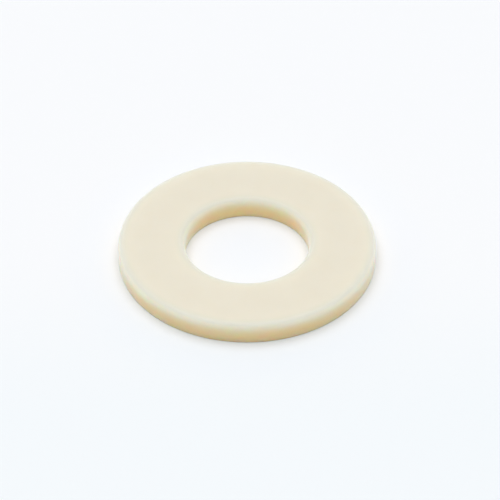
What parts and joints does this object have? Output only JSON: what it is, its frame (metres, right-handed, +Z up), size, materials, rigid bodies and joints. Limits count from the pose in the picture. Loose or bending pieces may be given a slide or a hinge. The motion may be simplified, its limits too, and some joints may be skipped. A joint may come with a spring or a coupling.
{
  "type": "flat washer",
  "caption": "Plain flat ring washer in natural nylon, with rounded upper edges, for spreading the load under an M4 screw head or nut.",
  "frame": {"origin": "centre of the hole in the plane of the lower face, which the washer rests on", "axes": "+Z up along the hole's axis, from the flat-edged lower face towards the rounded upper face; the ring is the same all round, so +X and +Y are any two directions square to it"},
  "size_m": [0.009, 0.009, 0.0008],
  "materials": {
    "natural_nylon": "satin, milky cream and slightly translucent"
  },
  "bodies": {
    "root": {"washer_ring": "natural_nylon"}
  },
  "joints": []
}
